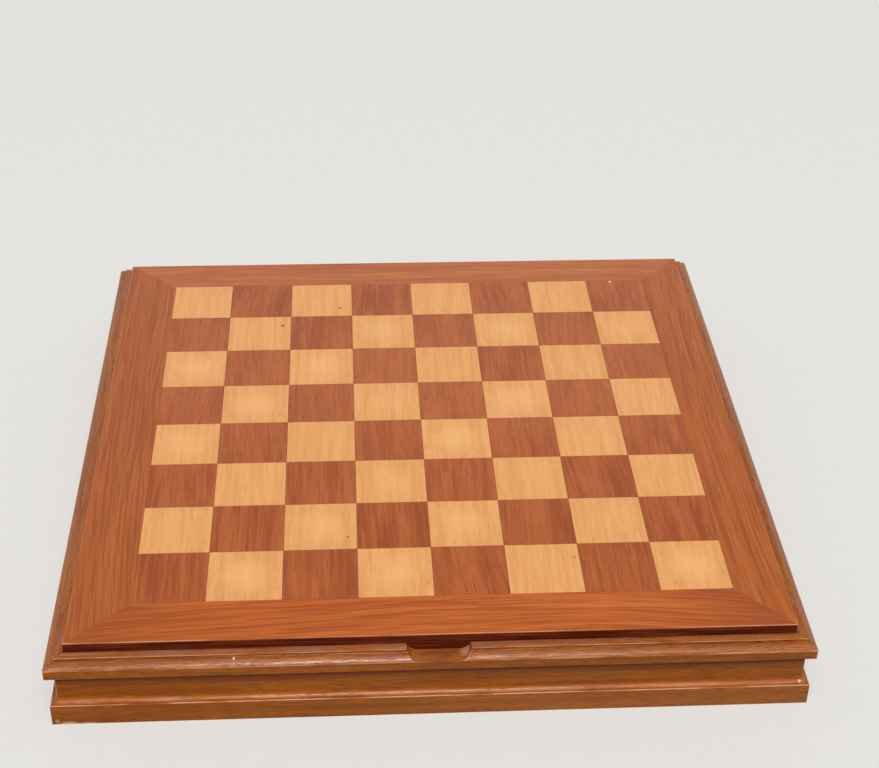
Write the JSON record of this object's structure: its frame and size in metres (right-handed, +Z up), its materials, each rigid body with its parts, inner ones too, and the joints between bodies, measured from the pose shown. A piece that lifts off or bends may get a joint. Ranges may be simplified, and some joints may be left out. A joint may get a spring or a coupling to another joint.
{
  "type": "chess box with drawers",
  "caption": "Square wooden chess box: a lift-off board of inlaid squares lies in a moulded case with a finger scoop in front and a drawer with a brass knob in each flank.",
  "frame": {"origin": "centre of the box on the surface it stands on", "axes": "+Z up, +X to the right past the right-hand drawer, the player with the finger scoop sits at -Y"},
  "size_m": [0.4528, 0.4474, 0.0535],
  "materials": {
    "moulding": "satin varnish",
    "border_veneer": "satin varnish",
    "light_veneer": "satin varnish",
    "dark_veneer": "satin varnish",
    "lipping": "satin varnish",
    "inside_wood": "bare",
    "plywood": "bare",
    "baize": "felted",
    "brass": "aged",
    "steel": "zinc plated"
  },
  "bodies": {
    "case": {"cap_front": "moulding", "cap_back": "moulding", "cap_left": "moulding", "cap_right": "moulding", "base_front": "moulding", "base_back": "moulding", "corner_front_left": "moulding", "corner_front_right": "moulding", "corner_back_left": "moulding", "corner_back_right": "moulding", "base_panel": "plywood", "base_baize": "baize", "base_screws": "steel", "centre_rail": "inside_wood", "runner_front_left": "inside_wood", "runner_front_right": "inside_wood", "runner_back_left": "inside_wood", "runner_back_right": "inside_wood", "top_rail_left": "inside_wood", "top_rail_right": "inside_wood"},
    "board": {"board_core": "plywood", "board_backing": "dark_veneer", "lipping_front": "lipping", "lipping_back": "lipping", "lipping_left": "lipping", "lipping_right": "lipping", "border_front_veneer": "border_veneer", "border_back_veneer": "border_veneer", "border_left_veneer": "border_veneer", "border_right_veneer": "border_veneer", "light_squares": "light_veneer", "dark_squares": "dark_veneer"},
    "drawer_left": {"drawer_left_front": "moulding", "drawer_left_near_side": "inside_wood", "drawer_left_far_side": "inside_wood", "drawer_left_back": "inside_wood", "drawer_left_bottom": "plywood", "drawer_left_partition": "inside_wood", "drawer_left_felt": "baize", "drawer_left_knob": "brass", "drawer_left_knob_screw": "steel"},
    "drawer_right": {"drawer_right_front": "moulding", "drawer_right_near_side": "inside_wood", "drawer_right_far_side": "inside_wood", "drawer_right_back": "inside_wood", "drawer_right_bottom": "plywood", "drawer_right_partition": "inside_wood", "drawer_right_felt": "baize", "drawer_right_knob": "brass", "drawer_right_knob_screw": "steel"}
  },
  "joints": [
    {"name": "board_lift", "type": "slide", "parent": "case", "child": "board", "axis": [0, 0, 1], "range_m": [0, 0.08]},
    {"name": "left_drawer_slide", "type": "slide", "parent": "case", "child": "drawer_left", "axis": [-1, 0, 0], "range_m": [0, 0.1625]},
    {"name": "right_drawer_slide", "type": "slide", "parent": "case", "child": "drawer_right", "axis": [1, 0, 0], "range_m": [0, 0.1625]}
  ]
}
